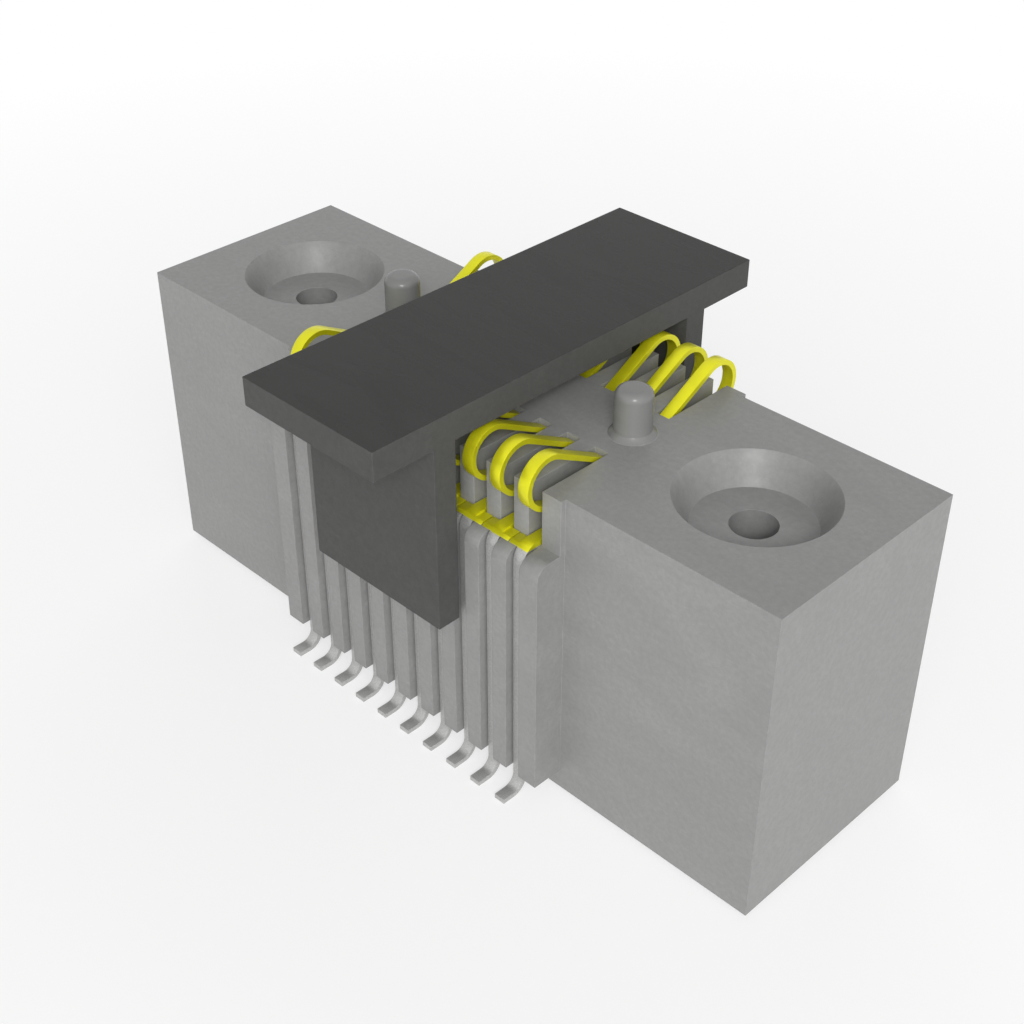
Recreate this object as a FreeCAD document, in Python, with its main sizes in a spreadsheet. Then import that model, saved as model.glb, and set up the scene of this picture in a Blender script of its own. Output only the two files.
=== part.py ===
"""Board to board connector: ribbed housing, two rows of formed spring contacts and a pick-up cap.

Millimetres. X runs along the contact rows, -Y is the front, +Z is up. The origin is at the centre of the
footprint, on the board: the soles of the contact tails are at Z = 0.
"""
import FreeCAD, Part
import math
import os
import Sketcher
from FreeCAD import Placement, Rotation, Vector

DIMENSIONS = (
    ("contact_count", 10, "contacts in each row"),
    ("pitch", 1.0, "from one contact to the next"),
    ("housing_height", 10.0, "top face above the board"),
    ("core_standoff", 0.15, "underside of the core above the board"),
    ("rib_standoff", 0.765, "underside of the ribbed walls above the board"),
    ("block_length", 6.65, "end block along X"),
    ("core_width", 6.97, "core and end blocks along Y"),
    ("wall_span", 7.3, "across the outer faces of the upper partitions"),
    ("rib_projection", 0.835, "ribs beyond the upper partitions"),
    ("ledge_depth", 1.68, "top face down to the ledge above the ribs"),
    ("shoulder_radius", 0.44, "rounded top of each rib"),
    ("slot_width", 0.47, "contact slot and groove along X"),
    ("end_rib", 0.655, "last slot to the end block"),
    ("centre_wall", 2.38, "housing between the front and the rear slots"),
    ("strip_thickness", 0.15, "contact strip"),
    ("strip_width", 0.36, "contact strip"),
    ("bend_radius", 0.35, "inside of the foot bend and of the shoulder bend"),
    ("leg_recess", 0.23, "front of the contact leg behind the rib faces"),
    ("foot_length", 0.38, "flat of the tail on the board"),
    ("spring_radius", 0.795, "outside of the spring bow"),
    ("spring_overhang", 0.455, "spring bow beyond the upper partitions"),
    ("contact_rise", 0.86, "top of the spring bow above the top face"),
    ("beam_angle", 28.0, "slope of the beam that dips into the slot, degrees"),
    ("end_gap", 0.06, "beam tip and fold to the inner end of the slot"),
    ("saddle_thickness", 0.075, "coined saddle on the ledge"),
    ("saddle_gap", 0.05, "between the saddles of two neighbours"),
    ("wall_gap", 0.02, "saddle to the partitions"),
    ("seat_gap", 0.02, "contact leg to the floor of its groove"),
    ("screw_offset", 3.23, "inner face of the end block to the screw hole's axis"),
    ("screw_hole", 1.28, "diameter"),
    ("recess_mouth", 4.32, "diameter of the screw recess at the top face"),
    ("recess_floor", 3.31, "diameter of the screw recess at its floor"),
    ("recess_depth", 0.876, "screw recess"),
    ("pin_diameter", 1.05, "alignment pin"),
    ("pin_height", 1.385, "alignment pin above the top face"),
    ("pin_tip_radius", 0.245, "rounding of the pin's tip"),
    ("pin_root", 0.147, "taper at the pin's foot"),
    ("cap_length", 14.46, "plate of the cap along Y"),
    ("cap_width", 5.06, "cap along X"),
    ("cap_thickness", 0.88, "plate of the cap"),
    ("cap_headroom", 0.05, "plate above the spring bows"),
    ("cap_leg_length", 5.71, "legs below the plate"),
    ("cap_leg_thickness", 0.753, "legs"),
    ("cap_grip_gap", 0.026, "legs to the rib faces"),
)
OVERCUT = 1.0
PIN_ROOT_DEPTH = 0.2
SKETCH_ON_YZ = Rotation(Vector(1, 1, 1), 120)

doc = FreeCAD.newDocument("BoardToBoardConnector")
sheet = doc.addObject("Spreadsheet::Sheet", "sizes")


def fill_sheet():
    for row, (alias, value, meaning) in enumerate(DIMENSIONS, start=1):
        sheet.set(f"A{row}", meaning)
        sheet.set(f"B{row}", str(value))
        sheet.setAlias(f"B{row}", alias)
    doc.recompute()


class Size:
    """A value worked out from the sheet, together with the expression that gives it."""

    def __init__(self, value, text):
        self.value = value
        self.text = text

    def __add__(self, other):
        other = as_size(other)
        return Size(self.value + other.value, f"({self.text} + {other.text})")

    def __sub__(self, other):
        other = as_size(other)
        return Size(self.value - other.value, f"({self.text} - {other.text})")

    def __mul__(self, factor):
        factor = as_size(factor)
        return Size(self.value * factor.value, f"({self.text} * {factor.text})")

    def __truediv__(self, divisor):
        divisor = as_size(divisor)
        return Size(self.value / divisor.value, f"({self.text} / {divisor.text})")

    def __neg__(self):
        return Size(-self.value, f"(0 - {self.text})")


def as_size(number):
    return number if isinstance(number, Size) else Size(number, repr(number))


def size(alias):
    return Size(float(sheet.get(alias)), f"sizes.{alias}")


def bind(item, path, value):
    item.setExpression(path, value.text)


fill_sheet()
ZERO = as_size(0)

# Along X, from the centre outwards
last_contact = size("pitch") * (size("contact_count") - 1) / 2
block_inner = last_contact + size("slot_width") / 2 + size("end_rib")
block_outer = block_inner + size("block_length")
screw_axis = block_inner + size("screw_offset")

# Along Y, from the centre outwards
slot_end = size("centre_wall") / 2
wall_face = size("wall_span") / 2
rib_face = wall_face + size("rib_projection")
leg_front = rib_face - size("leg_recess")
leg_back = leg_front - size("strip_thickness")
foot_bend_centre = leg_front + size("bend_radius")
foot_tip = foot_bend_centre + size("foot_length")
shoulder_bend_centre = leg_back - size("bend_radius")
groove_floor = leg_back - size("seat_gap")
spring_centre = wall_face + size("spring_overhang") - size("spring_radius")
beam_tip = slot_end + size("end_gap")
fold = beam_tip + size("strip_thickness")

# Along Z, from the board upwards
top_face = size("housing_height")
ledge = top_face - size("ledge_depth")
bow_top = top_face + size("contact_rise")
spring_level = bow_top - size("spring_radius")
foot_bend_level = size("strip_thickness") + size("bend_radius")
shoulder_bend_level = ledge - size("bend_radius")
fold_level = ledge + size("strip_thickness")
cap_underside = bow_top + size("cap_headroom")


def flat(across, up):
    return Vector(across, up, 0)


class Drawing:
    """Curves and rules gathered for one sketch, then added in one go."""

    def __init__(self, sketch):
        self.sketch = sketch
        self.curves = []
        self.rules = []
        self.sized = []

    def line(self, start, end):
        self.curves.append(Part.LineSegment(start, end))
        return len(self.curves) - 1

    def arc(self, centre, radius, first_angle, last_angle):
        """Returns the curve's number and which of its ends, 1 or 2, comes first along the outline."""
        low = math.radians(min(first_angle, last_angle))
        high = math.radians(max(first_angle, last_angle))
        circle = Part.Circle(centre, Vector(0, 0, 1), radius)
        self.curves.append(Part.ArcOfCircle(circle, low, high))
        return len(self.curves) - 1, 1 if first_angle < last_angle else 2

    def rule(self, *words):
        self.rules.append(Sketcher.Constraint(*words))

    def measure(self, kind, value, *where):
        self.sized.append((len(self.rules), value))
        self.rules.append(Sketcher.Constraint(kind, *where, value.value))

    def across(self, curve, end, value):
        self.measure("DistanceX", value, -1, 1, curve, end)

    def up(self, curve, end, value):
        self.measure("DistanceY", value, -1, 1, curve, end)

    def slope(self, curve, degrees):
        """The angle from the X axis to a line that runs down to the left."""
        self.sized.append((len(self.rules), Size(degrees.value, f"({degrees.text} - 180) * 1 deg")))
        self.rule("Angle", curve, math.radians(degrees.value - 180))

    def finish(self):
        self.sketch.addGeometry(self.curves, False)
        self.sketch.addConstraint(self.rules)
        for number, value in self.sized:
            bind(self.sketch, f"Constraints[{number}]", value)


class Corner:
    """A corner of an outline, sharp or rounded."""

    def __init__(self, across, up, radius=None):
        self.across = as_size(across)
        self.up = as_size(up)
        self.radius = radius
        self.point = flat(self.across.value, self.up.value)

    def towards(self, other):
        """The point where the edge to another corner leaves this one."""
        if self.radius is None:
            return self.point
        step = other.point - self.point
        return self.point + step * (self.radius.value / step.Length)


def draw_outline(drawing, corners):
    """A closed outline. The edges beside a rounded corner run along the axes."""
    edges = []
    count = len(corners)
    for index, corner in enumerate(corners):
        following = corners[(index + 1) % count]
        edges.append(drawing.line(corner.towards(following), following.towards(corner)))
        if corner.radius or following.radius:
            upright = abs(corner.point.x - following.point.x) < abs(corner.point.y - following.point.y)
            drawing.rule("Vertical" if upright else "Horizontal", edges[index])
            if corner.radius and following.radius:
                hold = drawing.across if upright else drawing.up
                hold(edges[index], 1, corner.across if upright else corner.up)
    for index, corner in enumerate(corners):
        before, after = edges[index - 1], edges[index]
        if corner.radius is None:
            drawing.rule("Coincident", before, 2, after, 1)
            drawing.across(after, 1, corner.across)
            drawing.up(after, 1, corner.up)
        else:
            round_corner(drawing, corners[index - 1], corner, corners[(index + 1) % count], before, after)


def round_corner(drawing, previous, corner, following, before, after):
    entry = corner.towards(previous)
    leave = corner.towards(following)
    centre = entry + leave - corner.point
    first = math.degrees(math.atan2(entry.y - centre.y, entry.x - centre.x))
    last = math.degrees(math.atan2(leave.y - centre.y, leave.x - centre.x))
    if last - first > 180:
        last -= 360
    if first - last > 180:
        last += 360
    arc, starts = drawing.arc(centre, corner.radius.value, first, last)
    drawing.rule("Tangent", before, 2, arc, starts)
    drawing.rule("Tangent", arc, 3 - starts, after, 1)
    drawing.measure("Radius", corner.radius, arc)


def mirrored(corners):
    return [Corner(-corner.across, corner.up, corner.radius) for corner in corners]


def origin_feature(body, role):
    return next(item for item in body.Origin.OriginFeatures if item.Role == role)


def body_sketch(body, name, plane):
    sketch = body.newObject("Sketcher::SketchObject", name)
    sketch.AttachmentSupport = (origin_feature(body, plane), [""])
    sketch.MapMode = "FlatFace"
    return sketch


def body_outline(body, name, plane, *outlines):
    sketch = body_sketch(body, name, plane)
    drawing = Drawing(sketch)
    for corners in outlines:
        draw_outline(drawing, corners)
    drawing.finish()
    return sketch


def add_symmetric(body, kind, name, sketch, length):
    """A pad or pocket that reaches half its length to each side of its sketch."""
    feature = body.newObject(kind, name)
    feature.Profile = sketch
    feature.SideType = "Symmetric"
    bind(feature, "Length", length)
    sketch.Visibility = False
    return feature


def add_turned(body, kind, name, sketch):
    feature = body.newObject(kind, name)
    feature.Profile = sketch
    feature.ReferenceAxis = (sketch, ["V_Axis"])
    feature.Angle = 360
    sketch.Visibility = False
    return feature


def add_mirrored(body, name, feature):
    copy = body.newObject("PartDesign::Mirrored", name)
    copy.Originals = [feature]
    copy.MirrorPlane = (origin_feature(body, "YZ_Plane"), [""])
    body.Tip = copy
    return copy


def make_housing():
    body = doc.addObject("PartDesign::Body", "housing")
    plain_core(body)
    ribbed_walls(body)
    contact_slots(body)
    screw_recesses(body)
    alignment_pins(body)
    return body


def plain_core(body):
    """Side view of the core that runs from end block to end block on one flat underside."""
    half = [Corner(block_outer, size("core_standoff")), Corner(block_outer, top_face)]
    sketch = body_outline(body, "CoreOutline", "XZ_Plane", half + mirrored(half)[::-1])
    add_symmetric(body, "PartDesign::Pad", "Core", sketch, size("core_width"))


def ribbed_walls(body):
    """End view of the middle: ribs with rounded tops, the ledge, and the upper partitions."""
    half = [
        Corner(rib_face, size("rib_standoff")),
        Corner(rib_face, ledge, size("shoulder_radius")),
        Corner(wall_face, ledge),
        Corner(wall_face, top_face),
    ]
    sketch = body_outline(body, "WallOutline", "YZ_Plane", half + mirrored(half)[::-1])
    add_symmetric(body, "PartDesign::Pad", "RibbedWalls", sketch, block_inner * 2)


def contact_slots(body):
    """One slot with the groove below it on each side, bevelled under the shoulder bend, along the rows."""
    half = [
        Corner(slot_end, top_face + OVERCUT),
        Corner(slot_end, ledge),
        Corner(groove_floor - size("bend_radius"), ledge),
        Corner(groove_floor, shoulder_bend_level),
        Corner(groove_floor, size("rib_standoff") - OVERCUT),
        Corner(rib_face + OVERCUT, size("rib_standoff") - OVERCUT),
        Corner(rib_face + OVERCUT, top_face + OVERCUT),
    ]
    sketch = body_outline(body, "SlotOutline", "YZ_Plane", half, mirrored(half))
    bind(sketch, "AttachmentOffset.Base.z", -last_contact)
    slot = add_symmetric(body, "PartDesign::Pocket", "FirstSlots", sketch, size("slot_width"))
    slots = body.newObject("PartDesign::LinearPattern", "ContactSlots")
    slots.Originals = [slot]
    slots.Direction = (origin_feature(body, "X_Axis"), [""])
    slots.Mode = "Extent"
    bind(slots, "Length", last_contact * 2)
    bind(slots, "Occurrences", size("contact_count"))
    body.Tip = slots


def screw_recesses(body):
    """A screw hole through each end block, below a tapered recess with a flat floor."""
    floor = top_face - size("recess_depth")
    half = [
        Corner(ZERO, size("core_standoff")),
        Corner(size("screw_hole") / 2, size("core_standoff")),
        Corner(size("screw_hole") / 2, floor),
        Corner(size("recess_floor") / 2, floor),
        Corner(size("recess_mouth") / 2, top_face),
        Corner(ZERO, top_face),
    ]
    sketch = body_outline(body, "RecessOutline", "XZ_Plane", half)
    bind(sketch, "AttachmentOffset.Base.x", screw_axis)
    recess = add_turned(body, "PartDesign::Groove", "RightRecess", sketch)
    add_mirrored(body, "ScrewRecesses", recess)


def alignment_pins(body):
    """A pin with a rounded tip and a tapered foot at each end of the rows."""
    radius = size("pin_diameter") / 2
    foot = radius + size("pin_root")
    half = [
        Corner(ZERO, top_face - PIN_ROOT_DEPTH),
        Corner(foot, top_face - PIN_ROOT_DEPTH),
        Corner(foot, top_face),
        Corner(radius, top_face + size("pin_root")),
        Corner(radius, top_face + size("pin_height"), size("pin_tip_radius")),
        Corner(ZERO, top_face + size("pin_height")),
    ]
    sketch = body_outline(body, "PinOutline", "XZ_Plane", half)
    bind(sketch, "AttachmentOffset.Base.x", last_contact)
    pin = add_turned(body, "PartDesign::Revolution", "RightPin", sketch)
    add_mirrored(body, "AlignmentPins", pin)


def make_cap():
    """A flat plate for a suction nozzle, on two legs that straddle the ribs."""
    body = doc.addObject("PartDesign::Body", "pick_up_cap")
    leg_inner = rib_face + size("cap_grip_gap")
    leg_outer = leg_inner + size("cap_leg_thickness")
    leg_end = cap_underside - size("cap_leg_length")
    plate_top = cap_underside + size("cap_thickness")
    half = [
        Corner(leg_inner, cap_underside),
        Corner(leg_inner, leg_end),
        Corner(leg_outer, leg_end),
        Corner(leg_outer, cap_underside),
        Corner(size("cap_length") / 2, cap_underside),
        Corner(size("cap_length") / 2, plate_top),
    ]
    sketch = body_outline(body, "CapOutline", "YZ_Plane", half + mirrored(half)[::-1])
    add_symmetric(body, "PartDesign::Pad", "Cap", sketch, size("cap_width"))
    return body


def branch_slope():
    """Degrees by which the branch rises from the fold to where it meets the spring bow."""
    reach = spring_centre.value - fold.value
    rise = spring_level.value - fold_level.value
    to_bow = math.acos(size("spring_radius").value / math.hypot(reach, rise))
    return math.degrees(to_bow - math.atan2(reach, rise))


def polar(radius, degrees):
    return flat(radius * math.cos(math.radians(degrees)), radius * math.sin(math.radians(degrees)))


def draw_strip_side(drawing, bends, tail, end_slope):
    """One side of the strip, from its tail: a run before each bend, and the beam after the last one."""
    runs, arcs = [], []
    start = tail
    for centre, radius, first, last in bends:
        runs.append(drawing.line(start, centre + polar(radius, first)))
        if radius:
            arcs.append(drawing.arc(centre, radius, first, last))
        else:
            arcs.append(None)
        start = centre + polar(radius, last)
    reach = start.x - beam_tip.value
    runs.append(drawing.line(start, start - flat(reach, reach * math.tan(math.radians(end_slope)))))
    for index, arc in enumerate(arcs):
        if arc is None:
            drawing.rule("Coincident", runs[index], 2, runs[index + 1], 1)
        else:
            drawing.rule("Tangent", runs[index], 2, arc[0], arc[1])
            drawing.rule("Tangent", arc[0], 3 - arc[1], runs[index + 1], 1)
    for run, way in zip(runs, ("Horizontal", "Vertical", "Horizontal")):
        drawing.rule(way, run)
    return runs, [arc and arc[0] for arc in arcs]


def make_strip_outline():
    """A contact seen edge on: tail, leg, base on the ledge, branch that rises from a fold, bow and beam."""
    sketch = doc.addObject("Sketcher::SketchObject", "StripOutline")
    sketch.Placement = Placement(Vector(0, 0, 0), SKETCH_ON_YZ)
    drawing = Drawing(sketch)
    thickness = size("strip_thickness").value
    inside = size("bend_radius").value
    bow = size("spring_radius").value
    rise = branch_slope()
    dip = size("beam_angle").value
    foot = flat(foot_bend_centre.value, foot_bend_level.value)
    shoulder = flat(shoulder_bend_centre.value, shoulder_bend_level.value)
    inner_fold = flat(fold.value, fold_level.value)
    spring = flat(spring_centre.value, spring_level.value)
    lower_side = (
        (foot, inside + thickness, -90, -180),
        (shoulder, inside, 0, 90),
        (inner_fold, thickness, -90, rise - 270),
        (spring, bow - thickness, rise - 90, 90 + dip),
    )
    upper_side = (
        (foot, inside, -90, -180),
        (shoulder, inside + thickness, 0, 90),
        (inner_fold, 0, -90, rise - 270),
        (spring, bow, rise - 90, 90 + dip),
    )
    tail = flat(foot_tip.value, 0)
    lower, lower_arcs = draw_strip_side(drawing, lower_side, tail, dip)
    upper, upper_arcs = draw_strip_side(drawing, upper_side, tail + flat(0, thickness), dip)
    foot_arcs, shoulder_arcs, fold_arcs, bow_arcs = zip(lower_arcs, upper_arcs)
    curves = drawing.curves
    tail_end = drawing.line(curves[lower[0]].StartPoint, curves[upper[0]].StartPoint)
    beam_end = drawing.line(curves[lower[4]].EndPoint, curves[upper[4]].EndPoint)
    drawing.rule("Coincident", lower[0], 1, tail_end, 1)
    drawing.rule("Coincident", upper[0], 1, tail_end, 2)
    drawing.rule("Coincident", lower[4], 2, beam_end, 1)
    drawing.rule("Coincident", upper[4], 2, beam_end, 2)
    drawing.rule("Vertical", tail_end)
    drawing.rule("Perpendicular", beam_end, upper[4])
    for pair in (foot_arcs, shoulder_arcs, bow_arcs):
        drawing.rule("Coincident", pair[0], 3, pair[1], 3)
    drawing.rule("Coincident", fold_arcs[0], 3, upper[2], 2)
    drawing.rule("Parallel", lower[3], upper[3])
    drawing.rule("Parallel", lower[4], upper[4])
    drawing.rule("PointOnObject", lower[0], 1, -1)
    drawing.up(upper[0], 1, size("strip_thickness"))
    drawing.across(upper[0], 1, foot_tip)
    drawing.across(upper[1], 1, leg_front)
    drawing.measure("Radius", size("bend_radius"), foot_arcs[1])
    drawing.measure("Radius", size("bend_radius"), shoulder_arcs[0])
    drawing.up(lower[2], 1, ledge)
    drawing.across(upper[2], 2, fold)
    drawing.measure("Radius", size("spring_radius"), bow_arcs[1])
    drawing.across(bow_arcs[1], 3, spring_centre)
    drawing.up(bow_arcs[1], 3, spring_level)
    drawing.across(upper[4], 2, beam_tip)
    drawing.slope(upper[4], size("beam_angle"))
    drawing.finish()
    return sketch


def extrude(name, sketch, length):
    solid = doc.addObject("Part::Extrusion", name)
    solid.Base = sketch
    solid.DirMode = "Normal"
    solid.Solid = True
    solid.Symmetric = True
    bind(solid, "LengthFwd", length)
    sketch.Visibility = False
    return solid


def make_saddle(name, wide_strip, low, high):
    """The coined part of the shoulder bend that lies on the ledge, from low to high along X."""
    space = doc.addObject("Part::Box", name + "Space")
    bind(space, "Length", high - low)
    bind(space, "Width", leg_front - wall_face)
    bind(space, "Height", size("saddle_thickness"))
    bind(space, "Placement.Base.x", low)
    bind(space, "Placement.Base.y", wall_face + size("wall_gap"))
    bind(space, "Placement.Base.z", ledge)
    saddle = doc.addObject("Part::Common", name)
    saddle.Base = wide_strip
    saddle.Tool = space
    return saddle


def make_contacts():
    """Every contact is one formed strip. The two at the ends of a row have a saddle on one side only."""
    outline = make_strip_outline()
    strip = extrude("Strip", outline, size("strip_width"))
    wide_strip = extrude("WideStrip", outline, size("pitch"))
    reach = (size("pitch") - size("saddle_gap")) / 2
    saddles = {
        (True, True): make_saddle("Saddle", wide_strip, -reach, reach),
        (True, False): make_saddle("LowSaddle", wide_strip, -reach, ZERO),
        (False, True): make_saddle("HighSaddle", wide_strip, ZERO, reach),
    }
    count = int(sheet.get("contact_count"))
    contacts = []
    for row, turn in (("front", 180), ("rear", 0)):
        for number in range(1, count + 1):
            neighbours = (number > 1, number < count)
            if turn:
                neighbours = neighbours[::-1]
            contact = doc.addObject("Part::MultiFuse", f"contact_{row}_{number:02d}")
            contact.Shapes = [strip, saddles[neighbours]]
            contact.Refine = True
            contact.Placement = Placement(Vector(0, 0, 0), Rotation(Vector(0, 0, 1), turn))
            bind(contact, "Placement.Base.x", size("pitch") * (number - 1) - last_contact)
            contacts.append(contact)
    return contacts


def check(nodes):
    doc.recompute()
    failed = [item.Name for item in doc.Objects if {"Invalid", "Error"} & set(item.State)]
    failed += [node.Label for node in nodes if node.Shape.isNull() or not node.Shape.isValid()]
    if failed:
        raise RuntimeError("failed: " + ", ".join(failed))


def write(nodes):
    os.makedirs("parts", exist_ok=True)
    for node in nodes:
        node.Shape.exportStep(f"parts/{node.Label}.step")
        print(f"{node.Label}: {len(node.Shape.Solids)} solid, {node.Shape.Volume:.4f} cubic mm")


sub_parts = [make_housing(), *make_contacts(), make_cap()]
check(sub_parts)
write(sub_parts)
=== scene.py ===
"""The looks of the board to board connector: moulded plastic, plated contacts, studio and camera.

Everything is in metres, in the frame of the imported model.
"""
import math

import bmesh
import bpy
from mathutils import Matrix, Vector


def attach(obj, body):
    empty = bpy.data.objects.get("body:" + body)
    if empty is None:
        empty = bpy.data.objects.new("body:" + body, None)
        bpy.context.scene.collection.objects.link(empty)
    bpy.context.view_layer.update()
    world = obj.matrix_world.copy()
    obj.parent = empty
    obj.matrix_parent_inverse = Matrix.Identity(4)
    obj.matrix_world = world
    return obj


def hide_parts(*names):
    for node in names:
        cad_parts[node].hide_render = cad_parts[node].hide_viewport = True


MM = 0.001

# The camera looks along a space diagonal of the connector
CAMERA_PLACE = Vector((27.679, -27.662, 32.859)) * MM
CAMERA_TILT = math.atan(math.sqrt(2))
CAMERA_TURN = math.radians(45)
FOCAL_PIXELS = 1618.4
FRAME_PIXELS = 1024
SENSOR_WIDTH = 36
NEAREST_SEEN = 1 * MM

# Linear colours
HOUSING_GREY = (0.256, 0.256, 0.252)
CAP_GREY = (0.080, 0.080, 0.078)
GOLD = (0.76, 0.735, 0.014)
TIN = (0.46, 0.46, 0.45)
FLOOR_WHITE = (0.93, 0.93, 0.93)

# Features per millimetre along X, Y and Z
FLOW_MARKS = (0.22, 0.8, 0.55)
GLASS_FIBRES = (3.5, 20, 20)
MOULD_TEXTURE = (6, 6, 6)
PLATING_CLOUDS = (1.8, 1.8, 1.8)
PLATING_GRAINS = (26, 26, 26)
ROLLING_LINES = (50, 2.5, 2.5)
GILDING_WAVER = (6, 6, 0.5)

# The stretch of each noise that goes from nothing to its full effect
FLOW_STRETCH = (0.3, 0.7)
FIBRE_STRETCH = (0.60, 0.74)
PIT_STRETCH = (0.35, 0.65)
CLOUD_STRETCH = (0.3, 0.7)
GRAIN_STRETCH = (0.35, 0.65)
WAVER_STRETCH = (0.2, 0.8)

# Darkest and lightest shade of a colour, as factors
FLOW_SHADES = (0.94, 1.06)
GOLD_SHADES = (0.92, 1.04)
TIN_SHADES = (0.88, 1.10)
FIBRE_SHADE = 1.7
PIT_SHADE = 0.70

# The largest share of the colour that fibres and pits take over
FIBRE_SHARE = 0.12
PIT_SHARE = 0.32

# Depths of the relief
MOULD_DEPTH = 0.006 * MM
GRAIN_DEPTH = 0.0006 * MM
ROLLING_DEPTH = 0.0008 * MM

# Moulded plastic as it comes from a textured mould, and where the mould is polished, as factors of that. The
# polished shades are painted shade, which makes the pins and the top of the cap darker
HOUSING_ROUGHNESS = 0.42
HOUSING_GLOSS = 0.36
# Painted shade: the pins take this darker copy of the grey
HOUSING_PAINTED_SHADE = 0.74
CAP_ROUGHNESS = 0.50
CAP_GLOSS = 0.05
# Painted shade: the top of the cap takes this darker copy of its colour
CAP_PAINTED_SHADE = 0.64
FLOW_ROUGHNESS = 0.05
POLISHED_ROUGHNESS = 0.55
POLISHED_RELIEF = 0.2

# Plated strip, part metal and part plain colour, so that it keeps its colour where it reflects shade
TIN_ROUGHNESS = 0.42
GOLD_ROUGHNESS = 0.36
CLOUD_ROUGHNESS = 0.03
METAL_SHARE = 0.58

# The contacts are gold above the ledge. The pins and the top of the cap are polished, and their colour is
# painted darker as shade
LEDGE_LEVEL = 8.32 * MM
PIN_LEVEL = 10.01 * MM
PICK_UP_LEVEL = 11.78 * MM
LEVEL_BLUR = 0.006 * MM
LEVEL_WAVER = 0.01 * MM

# Rounding of the moulded and stamped edges
HOUSING_ROUNDING = 0.024 * MM
CAP_ROUNDING = 0.026 * MM
CONTACT_ROUNDING = 0.012 * MM
ROUNDING_STEPS = 2
SHARP_EDGE = math.radians(28)
SAME_PLACE = 0.0001 * MM
SAME_PLANE = math.radians(0.5)
LARGE_FACE_WEIGHT = 100

# Where each lamp hangs, and the light that reaches a white card that faces it
KEY_SIDE = (0.66, -0.61, 0.38)
BACK_SIDE = (-0.62, 0.75, 0.14)
FRONT_SIDE = (1, -1, 1)
KEY_LEVEL = 0.80
FRONT_LEVEL = 0.40
BACK_LEVEL = 0.65
WORLD_LEVEL = 0.30
LAMP_DISTANCE = 250 * MM
WIDE_LAMP = 240 * MM
SMALL_LAMP = 60 * MM

# The share of plain white in the floor grows from the part outwards
FLOOR_WIDTH = 2
FLOOR_ROUGHNESS = 0.9
FLOOR_GLOW = 0.60
GLOW_START = 14 * MM
GLOW_END = 55 * MM

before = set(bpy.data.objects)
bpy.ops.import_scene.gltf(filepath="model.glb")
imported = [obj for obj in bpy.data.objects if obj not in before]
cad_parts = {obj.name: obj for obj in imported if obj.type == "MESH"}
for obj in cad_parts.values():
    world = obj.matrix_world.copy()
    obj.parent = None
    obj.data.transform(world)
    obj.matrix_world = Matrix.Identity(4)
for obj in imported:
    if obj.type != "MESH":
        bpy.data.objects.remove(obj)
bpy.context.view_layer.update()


class Nodes:
    """Adds and links nodes in one tree."""

    def __init__(self, tree):
        self.tree = tree
        tree.nodes.clear()

    def add(self, kind, **settings):
        node = self.tree.nodes.new(kind)
        for name, value in settings.items():
            setattr(node, name, value)
        return node

    def link(self, source, target):
        self.tree.links.new(source, target)

    def place(self):
        """The point on the object, in its own coordinates."""
        return self.add("ShaderNodeTexCoord").outputs["Object"]

    def noise(self, scale, detail=3, roughness=0.5, swirl=0):
        """Noise on the object's own coordinates, with scale in features per millimetre along each axis."""
        mapping = self.add("ShaderNodeMapping")
        self.link(self.place(), mapping.inputs["Vector"])
        mapping.inputs["Scale"].default_value = [part / MM for part in scale]
        texture = self.add("ShaderNodeTexNoise")
        self.link(mapping.outputs["Vector"], texture.inputs["Vector"])
        texture.inputs["Scale"].default_value = 1
        texture.inputs["Detail"].default_value = detail
        texture.inputs["Roughness"].default_value = roughness
        texture.inputs["Distortion"].default_value = swirl
        return texture.outputs[0]

    def remap(self, value, low, high, to_low=0.0, to_high=1.0):
        node = self.add("ShaderNodeMapRange")
        self.link(value, node.inputs["Value"])
        for name, number in (("From Min", low), ("From Max", high), ("To Min", to_low), ("To Max", to_high)):
            node.inputs[name].default_value = number
        return node.outputs["Result"]

    def combine(self, operation, first, second):
        node = self.add("ShaderNodeMath", operation=operation)
        self.link(first, node.inputs[0])
        self.link(second, node.inputs[1])
        return node.outputs[0]

    def above(self, level, waver=None):
        """1 above the level and 0 below it, with a narrow blur at a line that may waver."""
        parts = self.add("ShaderNodeSeparateXYZ")
        self.link(self.place(), parts.inputs[0])
        height = parts.outputs["Z"]
        if waver:
            height = self.combine("ADD", height, waver)
        return self.remap(height, level - LEVEL_BLUR, level + LEVEL_BLUR)

    def blend(self, share, first, second):
        """Colour from the first to the second, each a plain colour or a socket."""
        node = self.add("ShaderNodeMix", data_type="RGBA")
        self.link(share, node.inputs["Factor"])
        ends = [socket for socket in node.inputs if socket.type == "RGBA"]
        for socket, colour in zip(ends, (first, second)):
            if isinstance(colour, bpy.types.NodeSocket):
                self.link(colour, socket)
            else:
                socket.default_value = (*colour, 1)
        return next(socket for socket in node.outputs if socket.type == "RGBA")

    def shades(self, share, colour, factors):
        """The colour from its darkest to its lightest shade."""
        dark, light = factors
        return self.blend(share, shade(colour, dark), shade(colour, light))

    def bump(self, height, depth, below=None):
        """Normals for a relief as deep as given, laid over another one."""
        node = self.add("ShaderNodeBump")
        self.link(height, node.inputs["Height"])
        node.inputs["Distance"].default_value = depth
        if below:
            self.link(below, node.inputs["Normal"])
        return node.outputs["Normal"]

    def seen_plainly(self):
        """1 for camera, glossy and transmission rays, and 0 for light that spreads."""
        path = self.add("ShaderNodeLightPath").outputs
        mirrored = self.combine("MAXIMUM", path["Is Glossy Ray"], path["Is Transmission Ray"])
        return self.combine("MAXIMUM", path["Is Camera Ray"], mirrored)


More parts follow.
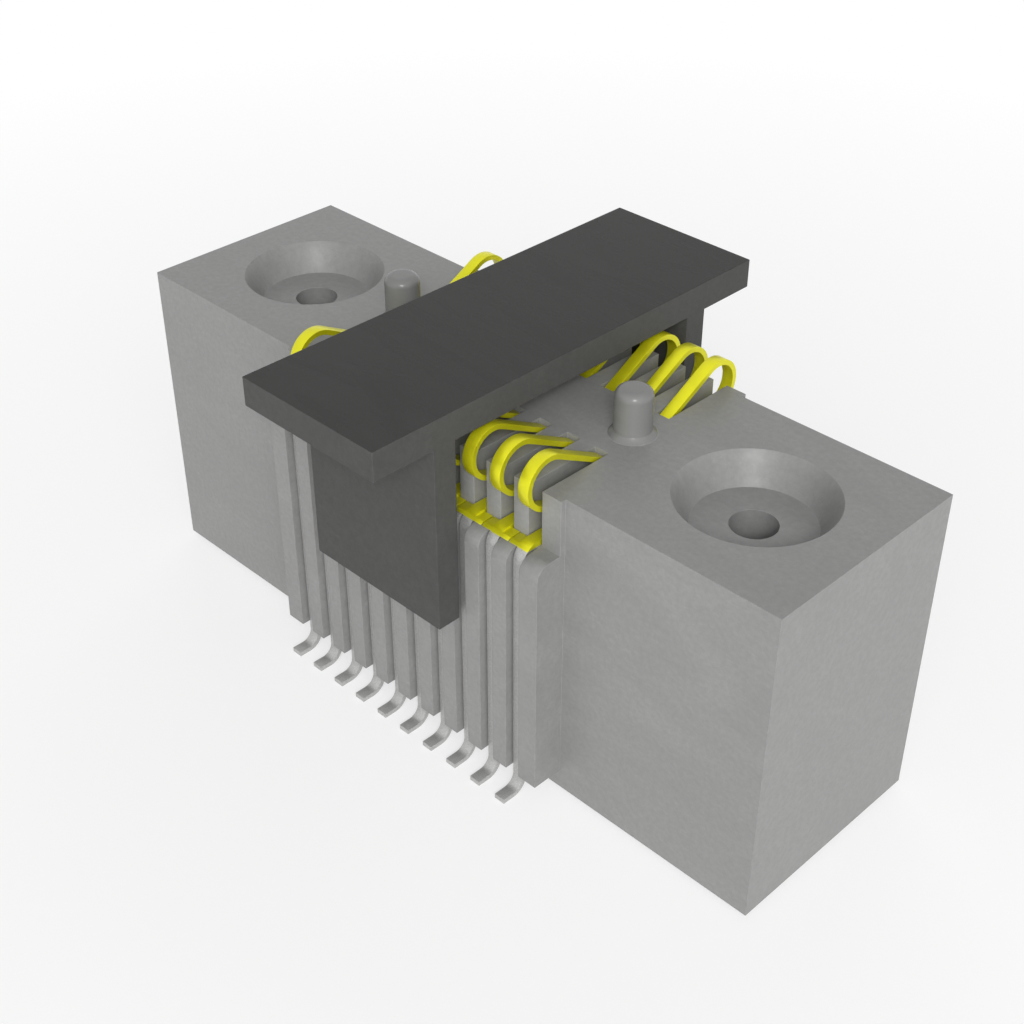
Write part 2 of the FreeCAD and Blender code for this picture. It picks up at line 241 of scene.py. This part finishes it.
def new_material(name):
    """An empty material, its nodes and the socket that takes its finished surface."""
    material = bpy.data.materials.new(name)
    material.use_nodes = True
    nodes = Nodes(material.node_tree)
    surface = nodes.add("ShaderNodeOutputMaterial").inputs["Surface"]
    return material, nodes, surface


def shade(colour, factor):
    return tuple(part * factor for part in colour)


def moulded_plastic(name, colour, roughness, gloss, polish_and_painted_shade_from, polished_painted_shade):
    """Fibre-filled plastic with flow marks along X and the fine texture of a spark-cut mould.

    What stands above the given level is polished, and so smoother, and its colour is painted darker as
    shade.
    """
    material, nodes, surface = new_material(name)
    flow = nodes.remap(nodes.noise(FLOW_MARKS, detail=5, roughness=0.55, swirl=1.2), *FLOW_STRETCH)
    fibres = nodes.remap(nodes.noise(GLASS_FIBRES, detail=2), *FIBRE_STRETCH, 0, FIBRE_SHARE)
    texture = nodes.noise(MOULD_TEXTURE, detail=4, roughness=0.6)
    pits = nodes.remap(texture, *PIT_STRETCH, 0, PIT_SHARE)
    polish_and_painted_shade = nodes.above(polish_and_painted_shade_from)
    shader = nodes.add("ShaderNodeBsdfPrincipled")
    rough_tone = nodes.shades(flow, colour, FLOW_SHADES)
    rough_tone = nodes.blend(fibres, rough_tone, shade(colour, FIBRE_SHADE))
    rough_tone = nodes.blend(pits, rough_tone, shade(colour, PIT_SHADE))
    # Painted shade: the polished parts take a darker copy of the colour
    painted_shade_tone = nodes.shades(flow, shade(colour, polished_painted_shade), FLOW_SHADES)
    painted_shade_tone = nodes.blend(fibres, painted_shade_tone, colour)
    nodes.link(nodes.blend(polish_and_painted_shade, rough_tone, painted_shade_tone), shader.inputs["Base Color"])
    grip = nodes.remap(flow, 0, 1, roughness - FLOW_ROUGHNESS, roughness + FLOW_ROUGHNESS)
    grip = nodes.combine("MULTIPLY", grip, nodes.remap(polish_and_painted_shade, 0, 1, 1, POLISHED_ROUGHNESS))
    nodes.link(grip, shader.inputs["Roughness"])
    relief = nodes.combine("MULTIPLY", texture, nodes.remap(polish_and_painted_shade, 0, 1, 1, POLISHED_RELIEF))
    nodes.link(nodes.bump(relief, MOULD_DEPTH), shader.inputs["Normal"])
    shader.inputs["Specular IOR Level"].default_value = gloss
    nodes.link(shader.outputs[0], surface)
    return material


def plated_strip(name):
    """Gold above the ledge and matt tin on the leg and tail below it, on strip with fine rolling lines."""
    material, nodes, surface = new_material(name)
    waver = nodes.remap(nodes.noise(GILDING_WAVER, detail=2), *WAVER_STRETCH, -LEVEL_WAVER, LEVEL_WAVER)
    gilding = nodes.above(LEDGE_LEVEL, waver)
    clouds = nodes.remap(nodes.noise(PLATING_CLOUDS, detail=4), *CLOUD_STRETCH)
    grains = nodes.noise(PLATING_GRAINS, detail=2)
    rolling = nodes.noise(ROLLING_LINES, detail=2)
    shader = nodes.add("ShaderNodeBsdfPrincipled")
    gold = nodes.shades(clouds, GOLD, GOLD_SHADES)
    tin = nodes.shades(nodes.remap(grains, *GRAIN_STRETCH), TIN, TIN_SHADES)
    nodes.link(nodes.blend(gilding, tin, gold), shader.inputs["Base Color"])
    roughness = nodes.remap(gilding, 0, 1, TIN_ROUGHNESS, GOLD_ROUGHNESS)
    unevenness = nodes.remap(clouds, 0, 1, -CLOUD_ROUGHNESS, CLOUD_ROUGHNESS)
    nodes.link(nodes.combine("ADD", roughness, unevenness), shader.inputs["Roughness"])
    nodes.link(nodes.bump(grains, GRAIN_DEPTH, nodes.bump(rolling, ROLLING_DEPTH)), shader.inputs["Normal"])
    shader.inputs["Metallic"].default_value = METAL_SHARE
    nodes.link(shader.outputs[0], surface)
    return material


def white_floor(name):
    """Matt white that takes the shadow of the part and is seen as plain white away from it."""
    material, nodes, surface = new_material(name)
    shader = nodes.add("ShaderNodeBsdfPrincipled")
    shader.inputs["Base Color"].default_value = (*FLOOR_WHITE, 1)
    shader.inputs["Roughness"].default_value = FLOOR_ROUGHNESS
    shader.inputs["Specular IOR Level"].default_value = 0
    distance = nodes.add("ShaderNodeVectorMath", operation="LENGTH")
    nodes.link(nodes.place(), distance.inputs[0])
    whiteness = nodes.remap(distance.outputs["Value"], GLOW_START, GLOW_END, FLOOR_GLOW, 1)
    mixture = nodes.add("ShaderNodeMixShader")
    nodes.link(nodes.combine("MULTIPLY", nodes.seen_plainly(), whiteness), mixture.inputs["Fac"])
    nodes.link(shader.outputs[0], mixture.inputs[1])
    nodes.link(nodes.add("ShaderNodeEmission").outputs[0], mixture.inputs[2])
    nodes.link(mixture.outputs[0], surface)
    return material


def rounded_copy(node, rounding):
    """The node's own shape with its sharp edges slightly rounded."""
    shape = bmesh.new()
    shape.from_mesh(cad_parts[node].data)
    bmesh.ops.remove_doubles(shape, verts=shape.verts, dist=SAME_PLACE)
    bmesh.ops.dissolve_limit(shape, angle_limit=SAME_PLANE, verts=shape.verts, edges=shape.edges)
    for face in shape.faces:
        face.smooth = True
    mesh = bpy.data.meshes.new(node + "_finished")
    shape.to_mesh(mesh)
    shape.free()
    piece = bpy.data.objects.new(node + "_finished", mesh)
    bpy.context.scene.collection.objects.link(piece)
    bevel = piece.modifiers.new("rounding", "BEVEL")
    bevel.limit_method = "ANGLE"
    bevel.angle_limit = SHARP_EDGE
    bevel.width = rounding
    bevel.segments = ROUNDING_STEPS
    flatness = piece.modifiers.new("flatness", "WEIGHTED_NORMAL")
    flatness.weight = LARGE_FACE_WEIGHT
    return piece


def dress(nodes, material, rounding):
    """Lay a rounded piece of the given material over each of the nodes."""
    for node in nodes:
        piece = rounded_copy(node, rounding)
        piece.data.materials.append(material)
        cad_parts[node].data.materials[0] = material
        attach(piece, "root")
        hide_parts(node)


def housing_moulding():
    """Grey plastic, with the pins polished, and painted darker as shade."""
    return moulded_plastic(
        "housing_moulding", HOUSING_GREY, HOUSING_ROUGHNESS, HOUSING_GLOSS, PIN_LEVEL, HOUSING_PAINTED_SHADE
    )


def cap_moulding():
    """Dark plastic, with the face for the suction nozzle polished, and painted darker as shade."""
    return moulded_plastic(
        "cap_moulding", CAP_GREY, CAP_ROUGHNESS, CAP_GLOSS, PICK_UP_LEVEL, CAP_PAINTED_SHADE
    )


def dress_part():
    housing_finish = housing_moulding()
    cap_finish = cap_moulding()
    contacts = sorted(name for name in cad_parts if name.startswith("contact_"))
    dress(["housing"], housing_finish, HOUSING_ROUNDING)
    dress(["pick_up_cap"], cap_finish, CAP_ROUNDING)
    dress(contacts, plated_strip("plated_strip"), CONTACT_ROUNDING)


def lay_floor():
    bpy.ops.mesh.primitive_plane_add(size=FLOOR_WIDTH)
    plane = bpy.context.object
    plane.name = "floor"
    plane.data.materials.append(white_floor("floor_white"))


def light_world():
    """An even pale surround, seen as white."""
    world = bpy.data.worlds.new("surround")
    world.use_nodes = True
    nodes = Nodes(world.node_tree)
    background = nodes.add("ShaderNodeBackground")
    background.inputs["Color"].default_value = (1, 1, 1, 1)
    nodes.link(nodes.remap(nodes.seen_plainly(), 0, 1, WORLD_LEVEL, 1), background.inputs["Strength"])
    nodes.link(background.outputs[0], nodes.add("ShaderNodeOutputWorld").inputs["Surface"])
    bpy.context.scene.world = world


def hang_lamp(name, side, width, level):
    """A soft square lamp on the given side, which lights a white card facing it to the given level."""
    lamp = bpy.data.lights.new(name, "AREA")
    lamp.shape = "SQUARE"
    lamp.size = width
    lamp.energy = level * math.pi ** 2 * LAMP_DISTANCE ** 2
    towards = Vector(side).normalized()
    holder = bpy.data.objects.new(name, lamp)
    holder.location = towards * LAMP_DISTANCE
    holder.rotation_euler = towards.to_track_quat("Z", "Y").to_euler()
    bpy.context.scene.collection.objects.link(holder)
    return holder


def light_studio():
    """Two wide lamps that aren't seen in reflections, and a small one that gives the highlights."""
    hang_lamp("key", KEY_SIDE, WIDE_LAMP, KEY_LEVEL).visible_glossy = False
    hang_lamp("back", BACK_SIDE, WIDE_LAMP, BACK_LEVEL).visible_glossy = False
    hang_lamp("front", FRONT_SIDE, SMALL_LAMP, FRONT_LEVEL)
    bpy.context.scene.view_settings.view_transform = "Standard"


def set_up_camera():
    lens = bpy.data.cameras.new("camera")
    lens.sensor_width = SENSOR_WIDTH
    lens.lens = SENSOR_WIDTH * FOCAL_PIXELS / FRAME_PIXELS
    lens.clip_start = NEAREST_SEEN
    holder = bpy.data.objects.new("camera", lens)
    holder.location = CAMERA_PLACE
    holder.rotation_euler = (CAMERA_TILT, 0, CAMERA_TURN)
    bpy.context.scene.collection.objects.link(holder)
    bpy.context.scene.camera = holder


def write_sizes():
    """Brings the scene up to date."""
    bpy.context.view_layer.update()


dress_part()
lay_floor()
light_world()
light_studio()
set_up_camera()
write_sizes()
